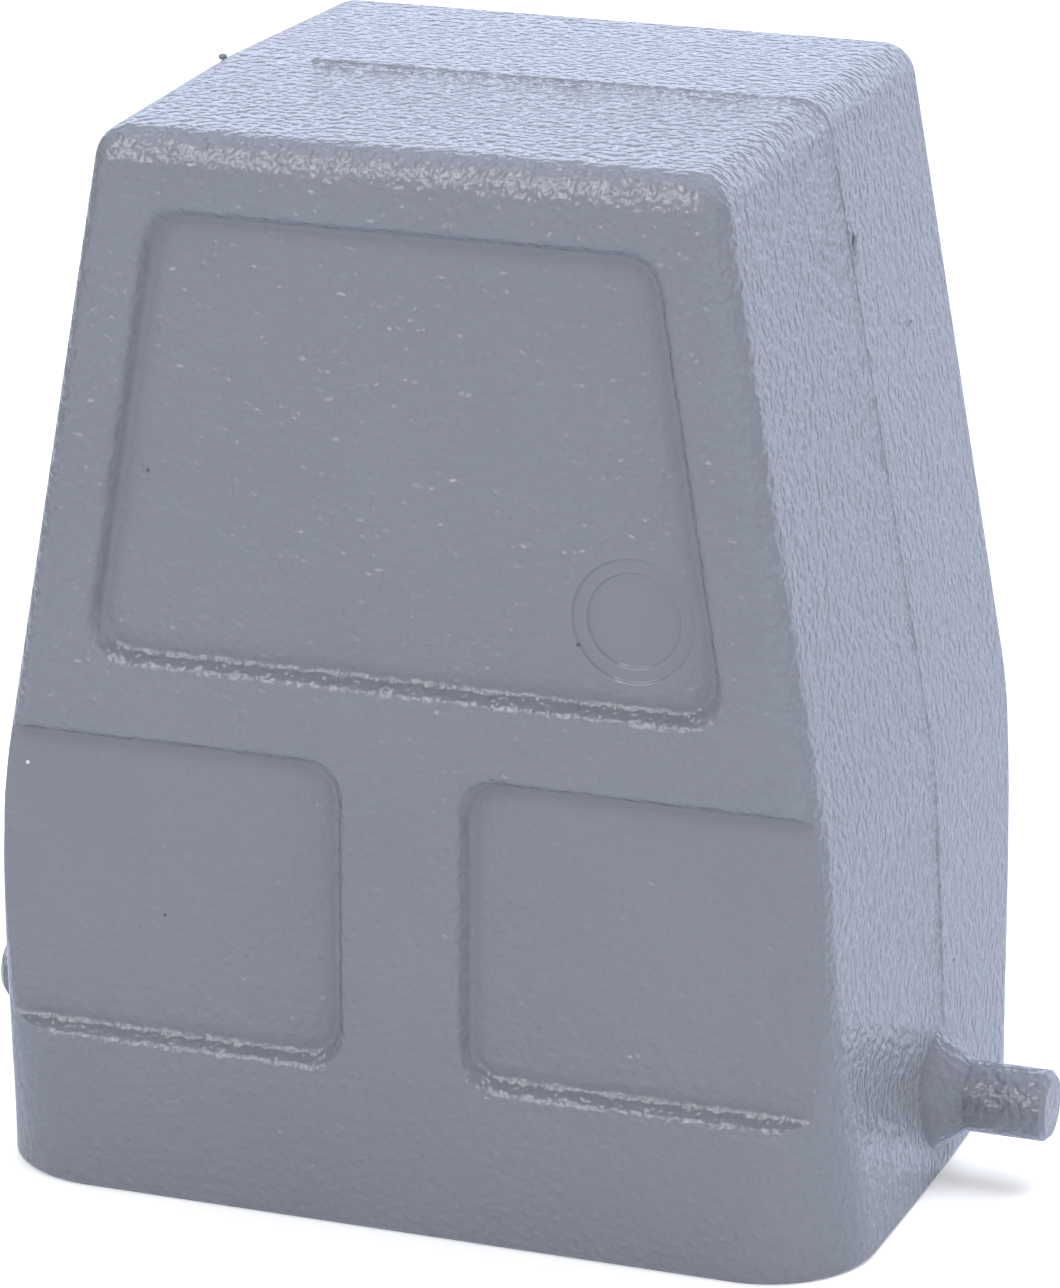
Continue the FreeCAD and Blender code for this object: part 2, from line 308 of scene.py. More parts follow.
@dataclass
class Threads:
    """Threads of the cable entry and of the four holes for the insert's screws."""

    threads: tuple[Thread, ...] = (
        Thread(0.01169, 0.0015, (-0.012676, 0.0, 0.049504), (-0.98534, 0.0, 0.1706), 0.0133),
        Thread(0.00165, 0.0007, (0.0220, 0.0135, 0.0128), (0.0, 0.0, 1.0), 0.0092, 24),
        Thread(0.00165, 0.0007, (0.0220, -0.0135, 0.0128), (0.0, 0.0, 1.0), 0.0092, 24),
        Thread(0.00165, 0.0007, (-0.0220, 0.0135, 0.0128), (0.0, 0.0, 1.0), 0.0092, 24),
        Thread(0.00165, 0.0007, (-0.0220, -0.0135, 0.0128), (0.0, 0.0, 1.0), 0.0092, 24),
    )
    tool_sides: int = 12

    def source(self) -> bpy.types.Mesh:
        """The helices as chains of edges, with the tool's radius at each point.

        Returns:
            The mesh.
        """
        places: list[Vector] = []
        edges: list[tuple[int, int]] = []
        radii: list[float] = []
        for thread in self.threads:
            points = thread.points()
            edges += [(i, i + 1) for i in range(len(places), len(places) + len(points) - 1)]
            places += points
            radii += [thread.tool * thread.pitch] * len(points)
        mesh = bpy.data.meshes.new("thread_paths")
        mesh.from_pydata(places, edges, [])
        attribute = mesh.attributes.new("tool_radius", "FLOAT", "POINT")
        attribute.data.foreach_set("value", radii)
        return mesh

    def recipe(self) -> Recipe:
        """Tree that runs a round tool along each helix.

        Returns:
            The tree.
        """
        tree = Recipe("thread_tools", {"Tool Sides": "NodeSocketInt", "Material": "NodeSocketMaterial"})
        curve = tree.add("GeometryNodeMeshToCurve", {0: tree.given["Geometry"]}).outputs[0]
        radius = tree.add("GeometryNodeInputNamedAttribute", {"Name": "tool_radius"}, data_type="FLOAT").outputs[0]
        ring = tree.add(
            "GeometryNodeCurvePrimitiveCircle", {"Resolution": tree.given["Tool Sides"], "Radius": 1.0}
        ).outputs[0]
        tool = tree.add("GeometryNodeCurveToMesh", {0: curve, 1: ring, "Fill Caps": True, "Scale": radius}).outputs[0]
        tree.finish(tool)
        return tree

    def cut(self, shell: bpy.types.Object, coat: bpy.types.Material) -> None:
        """Cuts the threads into the casting.

        Args:
            shell: the casting, whose mesh is changed.
            coat: the casting's finish.
        """
        tool = self.recipe().make("thread_tools", self.source(), {"Tool Sides": self.tool_sides, "Material": coat})
        modifier = shell.modifiers.new("threads", "BOOLEAN")
        modifier.operation = "DIFFERENCE"
        modifier.solver = "EXACT"
        modifier.object = tool
        graph = bpy.context.evaluated_depsgraph_get()
        mesh = bpy.data.meshes.new_from_object(shell.evaluated_get(graph))
        shell.modifiers.clear()
        shell.data = self.ordered(mesh)
        bpy.data.objects.remove(tool)
        LOG.info("threads: %d cut", len(self.threads))

    @staticmethod
    def ordered(mesh: bpy.types.Mesh) -> bpy.types.Mesh:
        """Copies a cut mesh with its points and faces in a fixed order, which the cut leaves open.

        Args:
            mesh: the cut mesh.

        Returns:
            The copy, without materials.
        """
        points = [tuple(vertex.co) for vertex in mesh.vertices]
        order = sorted(range(len(points)), key=points.__getitem__)
        rank = {old: new for new, old in enumerate(order)}
        faces = []
        for polygon in mesh.polygons:
            ring = [rank[i] for i in polygon.vertices]
            first = ring.index(min(ring))
            faces.append(ring[first:] + ring[:first])
        copy = bpy.data.meshes.new(mesh.name)
        copy.from_pydata([points[i] for i in order], [], sorted(faces))
        return copy


@dataclass(frozen=True)
class PowderCoat:
    """Grey powder coat with fine orange peel, on a die casting.

    Colours are linear, sizes in metres. In hollow corners, up to corner_reach away, shade is
    painted into the coat: its colour is darker by painted_corner_shade times the occluded share of the
    sky, as painted shade, and its peel flows out: from the first to the second of corner_open,
    the open share of the sky, it comes back. Walls that face up by more than the first of
    corner_rise keep some of it, and from the second on they keep corner_peel. Over the first to
    the second of top_rise the peel grows by top_peel. In the dish both the painted shade and the
    peel are weaker, by dish_shade and dish_peel.
    """

    name: str = "grey_powder_coat"
    dark: Colour = (0.201, 0.212, 0.245)
    light: Colour = (0.222, 0.234, 0.269)
    tone_size: float = 0.011
    roughness: tuple[float, float] = (0.09, 0.15)
    ior: float = 1.5
    peel_size: float = 0.00062
    peel_height: float = 0.00028
    grain_size: float = 0.0002
    grain_height: float = 0.000006
    dish_centre: tuple[float, float, float] = (0.0151, -0.0203, 0.0427)
    dish_radius: float = 0.0046
    dish_shade: float = 0.5
    dish_peel: float = 0.15
    corner_reach: float = 0.0016
    corner_samples: int = 8
    painted_corner_shade: float = 0.8
    corner_open: tuple[float, float] = (0.78, 0.96)
    corner_rise: tuple[float, float] = (0.1, 0.4)
    corner_peel: float = 0.5
    top_rise: tuple[float, float] = (0.5, 0.95)
    top_peel: float = 0.3

    def build(self) -> bpy.types.Material:
        """Makes the material.

        Returns:
            The material.
        """
        material, tree = new_material(self.name)
        place = tree.add("ShaderNodeTexCoord").outputs["Object"]
        tone = self.noise(tree, place, self.tone_size, 4.0)
        peel = self.noise(tree, place, self.peel_size, 1.0)
        grain = self.noise(tree, place, self.grain_size, 1.0)
        # shade is painted shade: ambient occlusion darkens the base colour in hollow corners
        shade, height = self.corners(tree, place)
        under = tree.add("ShaderNodeBump", {"Height": grain, "Distance": self.grain_height})
        bump = tree.add("ShaderNodeBump", {"Height": peel, "Distance": height, "Normal": under.outputs[0]})
        shader = tree.add("ShaderNodeBsdfPrincipled", {
            "Base Color": tree.scaled(tree.blend(tone, self.dark, self.light), shade),
            "Roughness": tree.ranged(tone, *self.roughness),
            "IOR": self.ior,
            "Normal": bump.outputs[0],
        })
        tree.add("ShaderNodeOutputMaterial", {"Surface": shader.outputs[0]})
        return material

    def corners(self, tree: Tree, place: bpy.types.NodeSocket) -> tuple[bpy.types.NodeSocket, ...]:
        """Paints shade into hollow corners by darkening the colour with ambient occlusion, and smooths
        the coat there and in the fine dish.

        Args:
            tree: the material's tree helper.
            place: the place in the object.

        Returns:
            The painted shade factor for the colour, and the peel's height.
        """
        hollow = tree.add(
            "ShaderNodeAmbientOcclusion", {"Distance": self.corner_reach},
            samples=self.corner_samples, only_local=True,
        ).outputs["AO"]
        offset = tree.vector("SUBTRACT", place, self.dish_centre)
        away = tree.maths("GREATER_THAN", tree.maths("SQRT", tree.dot(offset, offset)), self.dish_radius)
        share = tree.ranged(away, self.dish_shade * self.painted_corner_shade, self.painted_corner_shade)
        # painted shade: the colour factor falls with ambient occlusion in hollow corners
        shade = tree.maths("SUBTRACT", 1.0, tree.maths("MULTIPLY", share, tree.maths("SUBTRACT", 1.0, hollow)))
        facing = tree.add("ShaderNodeNewGeometry").outputs["True Normal"]
        upwards = tree.add("ShaderNodeSeparateXYZ", {0: facing}).outputs[2]
        kept = tree.clamped(upwards, *self.corner_rise, 0.0, self.corner_peel)
        factor = tree.clamped(hollow, *self.corner_open, kept, 1.0)
        factor = tree.maths("MULTIPLY", factor, tree.clamped(upwards, *self.top_rise, 1.0, 1.0 + self.top_peel))
        factor = tree.maths("MULTIPLY", factor, tree.ranged(away, self.dish_peel, 1.0))
        return shade, tree.maths("MULTIPLY", factor, self.peel_height)

    @staticmethod
    def noise(tree: Tree, place: bpy.types.NodeSocket, size: float, detail: float) -> bpy.types.NodeSocket:
        """Noise whose features have the given size.

        Args:
            tree: the material's tree helper.
            place: the coordinates in metres.
            size: the size of a feature in metres.
            detail: the number of finer octaves.

        Returns:
            The noise, from 0 to 1.
        """
        node = tree.add("ShaderNodeTexNoise", {"Vector": place, "Scale": 1.0 / size, "Detail": detail})
        return node.outputs[0]


@dataclass(frozen=True)
class Dust:
    """Matt dust caught in the coat. Tones are the factors of its darkest and its lightest colour."""

    name: str
    colour: Colour
    tones: tuple[float, float] = (0.8, 1.2)
    grain_size: float = 0.00006
    grain_height: float = 0.000006
    roughness: tuple[float, float] = (0.35, 0.6)

    def build(self) -> bpy.types.Material:
        """Makes the material.

        Returns:
            The material.
        """
        material, tree = new_material(self.name)
        place = tree.add("ShaderNodeTexCoord").outputs["Object"]
        grain = PowderCoat.noise(tree, place, self.grain_size, 2.0)
        dark, light = (tuple(factor * value for value in self.colour) for factor in self.tones)
        bump = tree.add("ShaderNodeBump", {"Height": grain, "Distance": self.grain_height})
        shader = tree.add("ShaderNodeBsdfPrincipled", {
            "Base Color": tree.blend(grain, dark, light),
            "Roughness": tree.ranged(grain, *self.roughness),
            "Normal": bump.outputs[0],
        })
        tree.add("ShaderNodeOutputMaterial", {"Surface": shader.outputs[0]})
        return material


@dataclass(frozen=True)
class StudioPaper:
    """White paper of the studio floor.

    The lift makes it white to the camera outside the object's shadow. Its reflection shows the
    backdrop's paper, less bright by shine, with the dark studio beside it.
    """

    name: str = "studio_paper"
    colour: Colour = (0.85, 0.85, 0.85)
    lift: float = 0.30
    shine: float = 0.61
    backdrop: Backdrop = Backdrop()

    def build(self) -> bpy.types.Material:
        """Makes the material.

        Returns:
            The material.
        """
        material, tree = new_material(self.name)
        path = tree.add("ShaderNodeLightPath").outputs
        paper = tree.add("ShaderNodeBsdfDiffuse", {"Color": rgba(self.colour)})
        glow = tree.add("ShaderNodeEmission", {"Strength": tree.maths("MULTIPLY", path["Is Camera Ray"], self.lift)})
        lit = tree.add("ShaderNodeAddShader", {0: paper.outputs[0], 1: glow.outputs[0]})
        place = tree.add("ShaderNodeTexCoord").outputs["Object"]
        share = self.backdrop.share(tree, place, self.backdrop.near)
        shown = self.backdrop.mirrored(tree, share)
        mirrored = tree.add("ShaderNodeEmission", {"Color": shown, "Strength": self.shine})
        mixed = tree.add("ShaderNodeMixShader", {0: path["Is Glossy Ray"], 1: lit.outputs[0], 2: mirrored.outputs[0]})
        tree.add("ShaderNodeOutputMaterial", {"Surface": mixed.outputs[0]})
        return material


@dataclass(frozen=True)
class View:
    """Camera that stands where the photograph was taken.

    Angles are in degrees, lengths in metres. The focal length is for a 36 mm sensor on the
    long side of the picture.
    """

    azimuth: float = 20.1394
    elevation: float = 18.3984
    distance: float = 0.3960727
    target: tuple[float, float, float] = (0.0009094, 0.0, 0.0332962)
    lens: float = 168.2207
    sensor: float = 36.0
    clip: tuple[float, float] = (0.01, 10.0)

    def back(self) -> Vector:
        """Direction from the target to the camera."""
        a, e = math.radians(self.azimuth), math.radians(self.elevation)
        return Vector((math.sin(a) * math.cos(e), -math.cos(a) * math.cos(e), math.sin(e)))

    def build(self) -> bpy.types.Object:
        """Adds the camera and makes it the scene's.

        Returns:
            The camera object.
        """
        data = bpy.data.cameras.new("camera")
        data.sensor_fit = "AUTO"
        data.sensor_width = self.sensor
        data.lens = self.lens
        data.clip_start, data.clip_end = self.clip
        camera = new_object("camera", data)
        camera.location = Vector(self.target) + self.back() * self.distance
        camera.rotation_mode = "QUATERNION"
        camera.rotation_quaternion = (-self.back()).to_track_quat("-Z", "Y")
        bpy.context.scene.camera = camera
        return camera


@dataclass(frozen=True)
class Lamp:
    """Square soft box that faces the object.

    The level is what the lamp alone adds to a white surface square to it. Lights and mirrored
    tell whether it lights the object, and whether the gloss shows it.
    """

    name: str
    direction: tuple[float, float, float]
    level: float
    colour: Colour = (1.0, 1.0, 1.0)
    distance: float = 2.6
    size: float = 1.8
    lights: bool = True
    mirrored: bool = True

    def build(self) -> bpy.types.Object:
        """Adds the lamp.

        Returns:
            The lamp object.
        """
        data = bpy.data.lights.new(self.name, "AREA")
        data.shape = "SQUARE"
        data.size = self.size
        data.color = self.colour
        data.energy = self.level * math.pi ** 2 * self.distance ** 2
        lamp = new_object(self.name, data)
        towards = Vector(self.direction).normalized()
        lamp.location = towards * self.distance
        lamp.rotation_mode = "QUATERNION"
        lamp.rotation_quaternion = (-towards).to_track_quat("-Z", "Y")
        lamp.visible_diffuse = self.lights
        lamp.visible_glossy = self.mirrored
        return lamp


@dataclass(frozen=True)
class Studio:
    """White floor and surroundings, with soft boxes from the front, from the side and from above.

    The front box is split into its light and its reflection, which is larger. The surroundings
    light the object with the ambient level, and a reflection shows the backdrop in them.
    """

    floor_radius: float = 6.0
    floor_sides: int = 64
    ambient: float = 0.53
    paper: StudioPaper = StudioPaper()
    lamps: tuple[Lamp, ...] = (
        Lamp("front_box", (-0.32, -0.68, 0.66), 0.31, size=0.9, mirrored=False),
        Lamp("front_gloss", (-0.32, -0.68, 0.66), 0.95, size=1.8, lights=False),
        Lamp("side_box", (0.95, -0.15, 0.30), 0.19, size=1.2, mirrored=False),
        Lamp("roof_box", (0.10, 0.25, 0.96), 1.12, (0.95, 0.98, 1.13), size=2.2, mirrored=False),
    )

    def build(self) -> None:
        """Adds the floor, the surroundings and the lamps."""
        self.build_floor()
        self.build_world()
        for lamp in self.lamps:
            lamp.build()
        bpy.context.scene.view_settings.view_transform = "Standard"

    def build_floor(self) -> bpy.types.Object:
        """Adds the floor as a large round sheet.

        Returns:
            The floor object.
        """
        mesh = bpy.data.meshes.new("studio_floor")
        rim = bmesh.new()
        bmesh.ops.create_circle(rim, cap_ends=True, radius=self.floor_radius, segments=self.floor_sides)
        rim.to_mesh(mesh)
        rim.free()
        mesh.materials.append(self.paper.build())
        floor = new_object("studio_floor", mesh)
        return floor

    def build_world(self) -> None:
        """Makes the surroundings: white to the camera, dimmer as light, the backdrop in reflections."""
        world = bpy.data.worlds.new("studio")
        world.use_nodes = True
        tree = Tree(world.node_tree)
        path = tree.add("ShaderNodeLightPath").outputs
        backdrop = self.paper.backdrop
        direction = tree.add("ShaderNodeTexCoord").outputs["Generated"]
        height = tree.add("ShaderNodeSeparateXYZ", {0: direction}).outputs[2]
        below = backdrop.step(tree, height, math.sin(backdrop.top))
        share = tree.maths("MULTIPLY", below, backdrop.share(tree, direction, 0.0))
        seen = tree.maths("MAXIMUM", path["Is Camera Ray"], path["Is Transmission Ray"])
        strength = tree.ranged(seen, self.ambient, 1.0)
        plain = tree.add("ShaderNodeBackground", {"Color": rgba((1.0, 1.0, 1.0)), "Strength": strength})
        mirrored = tree.add("ShaderNodeBackground", {"Color": backdrop.mirrored(tree, share)})
        sky = tree.add("ShaderNodeMixShader", {0: path["Is Glossy Ray"], 1: plain.outputs[0], 2: mirrored.outputs[0]})
        tree.add("ShaderNodeOutputWorld", {"Surface": sky.outputs[0]})
        bpy.context.scene.world = world


@dataclass
class HoodShell:
    """The casting itself: the CAD mesh welded and shaded smooth over its rounded edges.

    A corner's normal is the mean of the faces round it that turn less than crease from its own
    face, each weighted with the area of the flat region that it belongs to. Faces that turn
    less than flat are one region. Points closer than weld are one. The dish's step edges are
    those within dish_band of one of its radii.
    """

    node: str = "hood_casting"
    dish_centre: tuple[float, float, float] = (0.0151, -0.0203, 0.0427)
    dish_radii: tuple[float, ...] = (0.00405, 0.0031)
    dish_band: float = 0.00012
    dish_rounding: float = 0.00008
    dish_segments: int = 4
    weld: float = 0.000002
    crease: float = math.radians(38.0)
    flat: float = math.radians(0.4)

    def build(self) -> bpy.types.Object:
        """Makes the welded copy.

        Returns:
            The casting, not yet shaded or dressed.
        """
        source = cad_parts[self.node]
        mesh = bpy.data.meshes.new("hood_shell")
        work = bmesh.new()
        work.from_mesh(source.data)
        bmesh.ops.remove_doubles(work, verts=work.verts, dist=self.weld)
        bmesh.ops.dissolve_degenerate(work, edges=work.edges, dist=self.weld)
        self.round_dish(work)
        work.to_mesh(mesh)
        work.free()
        return new_object("hood_shell", mesh)

    def smooth(self, shell: bpy.types.Object) -> None:
        """Sets the shading normals of the finished mesh.

        Args:
            shell: the casting, whose mesh is changed.
        """
        work = bmesh.new()
        work.from_mesh(shell.data)
        bmesh.ops.triangulate(work, faces=work.faces)
        loose = sum(1 for edge in work.edges if not edge.is_manifold)
        LOG.info("%s: %d faces, %d open edges", shell.name, len(work.faces), loose)
        normals = self.corner_normals(work)
        work.to_mesh(shell.data)
        work.free()
        shell.data.shade_smooth()
        shell.data.normals_split_custom_set(normals)

    def round_dish(self, work: bmesh.types.BMesh) -> None:
        """Rounds the edges of the steps of the front dish, as the coat does.

        Args:
            work: the welded mesh, which is changed.
        """
        centre = Vector(self.dish_centre)
        edges = []
        for edge in work.edges:
            reaches = [(vert.co - centre).length for vert in edge.verts]
            near = any(
                all(abs(reach - radius) < self.dish_band for reach in reaches) for radius in self.dish_radii
            )
            if near and edge.is_manifold and edge.calc_face_angle() > self.crease:
                edges.append(edge)
        bmesh.ops.bevel(
            work, geom=edges, offset=self.dish_rounding, offset_type="OFFSET", affect="EDGES",
            segments=self.dish_segments, profile=0.5, clamp_overlap=False,
        )
        bmesh.ops.triangulate(work, faces=[face for face in work.faces if len(face.verts) > 4])
        LOG.info("dish: %d edges rounded", len(edges))

    def flat_areas(self, work: bmesh.types.BMesh) -> dict[int, float]:
        """Area of the flat region round each face.

        Args:
            work: the welded mesh.

        Returns:
            The area for each face's index.
        """
        work.faces.index_update()
        areas: dict[int, float] = {}
        for seed in work.faces:
            if seed.index in areas:
                continue
            region, queue = {seed.index}, [seed]
            total = 0.0
            while queue:
                face = queue.pop()
                total += face.calc_area()
                for edge in face.edges:
                    for other in edge.link_faces:
                        if other.index not in region and self.turn(seed, other) < self.flat:
                            region.add(other.index)
                            queue.append(other)
            for index in region:
                areas[index] = total
        return areas

    @staticmethod
    def turn(face: bmesh.types.BMFace, other: bmesh.types.BMFace) -> float:
        """Angle between the normals of two faces."""
        return math.acos(max(-1.0, min(1.0, face.normal.dot(other.normal))))

    def corner_normals(self, work: bmesh.types.BMesh) -> list[Vector]:
        """Shading normal of each corner of each face, in the mesh's order.

        Args:
            work: the welded mesh.

        Returns:
            The normals.
        """
        work.normal_update()
        areas = self.flat_areas(work)
        normals = []
        for face in work.faces:
            for corner in face.loops:
                total = Vector((0.0, 0.0, 0.0))
                for other in corner.vert.link_faces:
                    if self.turn(face, other) < self.crease:
                        total += other.normal * areas[other.index]
                normals.append(total.normalized() if total.length else face.normal.copy())
        return normals

    def dress(self, shell: bpy.types.Object, coat: bpy.types.Material) -> None:
        """Gives the casting its coat and lets it stand for the CAD node.

        Args:
            shell: the casting.
            coat: its finish.
        """
        shell.data.materials.clear()
        shell.data.materials.append(coat)
        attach(shell, "root")
        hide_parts(self.node)


@dataclass(frozen=True)
class EndProfile:
    """Outline of the casting in its parting plane, from the right peg over the top to the left.

    The sizes are those of the CAD model, in metres.
    """

    rim_x: float = 0.0300
    knee_x: float = 0.028325
    knee_z: float = 0.0277
    knee_radius: float = 0.038
    top_x: float = 0.02075
    top_z: float = 0.07145
    top_radius: float = 0.0023
    step: float = 0.00035

    def corner(self, before: Vector, at: Vector, after: Vector, radius: float) -> list[Vector]:
        """Points along the arc that rounds one corner.

        Args:
            before: a point on the run that comes in.
            at: the sharp corner.
            after: a point on the run that goes out.
            radius: the arc's radius.

        Returns:
            The arc's points, its two ends among them.
        """
        coming, going = (before - at).normalized(), (after - at).normalized()
        half = coming.angle(going) / 2
        centre = at + (coming + going).normalized() * (radius / math.sin(half))
        first = (at + coming * (radius / math.tan(half)) - centre).normalized()
        last = (at + going * (radius / math.tan(half)) - centre).normalized()
        count = max(2, math.ceil(first.angle(last) * radius / self.step))
        return [centre + first.slerp(last, i / count) * radius for i in range(count + 1)]

    def points(self) -> list[Vector]:
        """Points of the whole outline, from rim to rim.

        Returns:
            The points, about a step apart.
        """
        right = [Vector((self.rim_x, 0.0, 0.0)), Vector((self.knee_x, 0.0, self.knee_z))]
        right.append(Vector((self.top_x, 0.0, self.top_z)))
        left = [Vector((-point.x, 0.0, point.z)) for point in reversed(right)]
        sharp = right + left
        radii = [self.knee_radius, self.top_radius, self.top_radius, self.knee_radius]
        coarse = [sharp[0]]
        for i, radius in enumerate(radii, 1):
            coarse += self.corner(sharp[i - 1], sharp[i], sharp[i + 1], radius)
        coarse.append(sharp[-1])
        fine = [coarse[0]]
        for start, end in zip(coarse, coarse[1:]):
            count = max(1, round((end - start).length / self.step))
            fine += [start.lerp(end, i / count) for i in range(1, count + 1)]
        return fine


class Side(Enum):
    """Which run of the outline a place is on."""

    RIGHT = "right end"
    TOP = "top"
    LEFT = "left end"


@dataclass(frozen=True)
class Stretch:
    """Part of the parting line between two places of the outline, with its own flash.

    A place is a height on an end and an x on the top. Lift is how far the flash stands out.
    """

    side: Side
    start: float
    end: float
    lift: float

    def holds(self, point: Vector, top: float) -> bool:
        """Tells whether a point of the outline lies in this stretch.

        Args:
            point: the point.
            top: the height from which points count as on the top.

        Returns:
            True where it does.
        """
        if point.z > top:
            return self.side is Side.TOP and self.start <= point.x <= self.end
        side = Side.RIGHT if point.x > 0 else Side.LEFT
        return self.side is side and self.start <= point.z <= self.end


@dataclass
class PartingLine:
    """Fine ridge where the two halves of the die met, with raised flash in a few stretches.

    The ridge is the crest of a sunk wire. Waver is how far it sways sideways. Down the ends the
    line drifts to the y that drift gives for a height. Side lines run beside it on the top.
    """

    profile: EndProfile = EndProfile()
    lift: float = 0.00006
    wire_radius: float = 0.0008
    wire_sides: int = 36
    waver: float = 0.00012
    waver_size: float = 0.0024
    rough_size: float = 0.0009
    seed: float = 3.0
    top_limit: float = 0.0707
    stretches: tuple[Stretch, ...] = (
        Stretch(Side.RIGHT, 0.0143, 0.0244, 0.00009),
        Stretch(Side.RIGHT, 0.0600, 0.0632, 0.00010),
        Stretch(Side.TOP, -0.0140, -0.0066, 0.00008),
        Stretch(Side.TOP, 0.0032, 0.0150, 0.00007),
        Stretch(Side.LEFT, 0.0210, 0.0290, 0.00009),
    )
    side_lines: tuple[Stretch, ...] = (
        Stretch(Side.TOP, -0.0133, -0.0066, 0.00005),
        Stretch(Side.TOP, 0.0015, 0.0045, 0.00004),
        Stretch(Side.TOP, 0.0118, 0.0156, 0.00004),
    )
    side_line_y: float = -0.0016
    draft: float = math.radians(1.05)
    drift: tuple[tuple[float, float], ...] = (
        (0.0, 0.0013),
        (0.0244, 0.0018),
        (0.0500, 0.0009),
        (0.0707, 0.0),
    )
    gaps: tuple[Stretch, ...] = (
        Stretch(Side.RIGHT, -0.0010, 0.0006, 0.0),
        Stretch(Side.LEFT, -0.0010, 0.0006, 0.0),
        Stretch(Side.RIGHT, 0.0018, 0.0094, 0.0),
        Stretch(Side.LEFT, 0.0018, 0.0094, 0.0),
        Stretch(Side.LEFT, 0.0366, 0.0664, 0.0),
        Stretch(Side.TOP, -0.0215, -0.0141, 0.0),
    )

    def source(self) -> bpy.types.Mesh:
        """Outline as chains of edges with the flash's lift at each point.

        Returns:
            The mesh, open where a peg or the cable entry interrupts the line.
        """
        points = self.profile.points()
        kept = [not any(gap.holds(point, self.top_limit) for gap in self.gaps) for point in points]
        edges = [(i, i + 1) for i in range(len(points) - 1) if kept[i] and kept[i + 1]]
        lifts = [self.lift_at(point) for point in points]
        places = [self.drifted(point) for point in points]
        for line in self.side_lines:
            count = round((line.end - line.start) / self.profile.step)
            first = len(places)
            for i in range(count + 1):
                x = line.end + (line.start - line.end) * i / count
                places.append(self.aside(Vector((x, 0.0, self.profile.top_z)), self.side_line_y))
                lifts.append(line.lift)
            edges += [(i, i + 1) for i in range(first, first + count)]
        mesh = bpy.data.meshes.new("parting_outline")
        mesh.from_pydata(places, edges, [])
        attribute = mesh.attributes.new("lift", "FLOAT", "POINT")
        attribute.data.foreach_set("value", lifts)
        return mesh

    def aside(self, point: Vector, y: float) -> Vector:
        """Moves a point of the outline sideways, on the drafted surface.

        Args:
            point: the point, in the parting plane.
            y: where it goes.

        Returns:
            The moved point.
        """
        drop = abs(y) * math.tan(self.draft)
        if point.z > self.top_limit:
            return Vector((point.x, y, point.z - drop))
        return Vector((point.x - math.copysign(drop, point.x), y, point.z))

    def drifted(self, point: Vector) -> Vector:
        """Moves a point of the outline to where the line runs.

        Args:
            point: the point, in the parting plane.

        Returns:
            The moved point.
        """
        for (low, start), (high, end) in zip(self.drift, self.drift[1:]):
            if low <= point.z < high:
                return self.aside(point, start + (end - start) * (point.z - low) / (high - low))
        return point

    def lift_at(self, point: Vector) -> float:
        """Tells how far the flash stands out.

        Args:
            point: a point of the outline.

        Returns:
            The height in metres.
        """
        found = [stretch.lift for stretch in self.stretches if stretch.holds(point, self.top_limit)]
        return max(found, default=self.lift)

    def recipe(self) -> Recipe:
        """Tree that runs a wavering wire along the outline, sunk so that only its crest shows.

        Returns:
            The tree.
        """
        tree = Recipe("parting_ridge", {
            "Wire Radius": "NodeSocketFloat",
            "Wire Sides": "NodeSocketInt",
            "Waver": "NodeSocketFloat",
            "Waver Size": "NodeSocketFloat",
            "Rough Size": "NodeSocketFloat",
            "Seed": "NodeSocketFloat",
            "Material": "NodeSocketMaterial",
        })
        given = tree.given
        curve = tree.add("GeometryNodeMeshToCurve", {0: given["Geometry"]}).outputs[0]
        tangent = tree.add("GeometryNodeInputTangent").outputs[0]
        outward = tree.vector("CROSS_PRODUCT", (0.0, 1.0, 0.0), tangent)
        lift = tree.add("GeometryNodeInputNamedAttribute", {"Name": "lift"}, data_type="FLOAT").outputs[0]
        rough = tree.noise(given["Rough Size"], given["Seed"])
        uneven = tree.maths("MULTIPLY_ADD", rough, lift, lift)
        height = tree.maths("SUBTRACT", uneven, given["Wire Radius"])
        sway = tree.maths("MULTIPLY", tree.noise(given["Waver Size"], given["Seed"]), given["Waver"])
        offset = tree.vector("ADD", tree.scaled(outward, height), tree.scaled((0.0, 1.0, 0.0), sway))
        moved = tree.add("GeometryNodeSetPosition", {"Geometry": curve, "Offset": offset}).outputs[0]
        ring = tree.add(
            "GeometryNodeCurvePrimitiveCircle",
            {"Resolution": given["Wire Sides"], "Radius": given["Wire Radius"]},
        ).outputs[0]
        wire = tree.add("GeometryNodeCurveToMesh", {0: moved, 1: ring, "Fill Caps": True}).outputs[0]
        tree.finish(wire)
        return tree

    def build(self, coat: bpy.types.Material) -> bpy.types.Object:
        """Makes the ridge in the casting's coat.

        Args:
            coat: the casting's finish.

        Returns:
            The ridge.
        """
        ridge = self.recipe().make("parting_line", self.source(), {
            "Wire Radius": self.wire_radius,
            "Wire Sides": self.wire_sides,
            "Waver": self.waver,
            "Waver Size": self.waver_size,
            "Rough Size": self.rough_size,
            "Seed": self.seed,
            "Material": coat,
        })
        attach(ridge, "root")
        return ridge


@dataclass(frozen=True)
class Lump:
    """Small raised spot on the casting: its place and its half-sizes, in metres."""

    place: tuple[float, float, float]
    size: tuple[float, float, float]


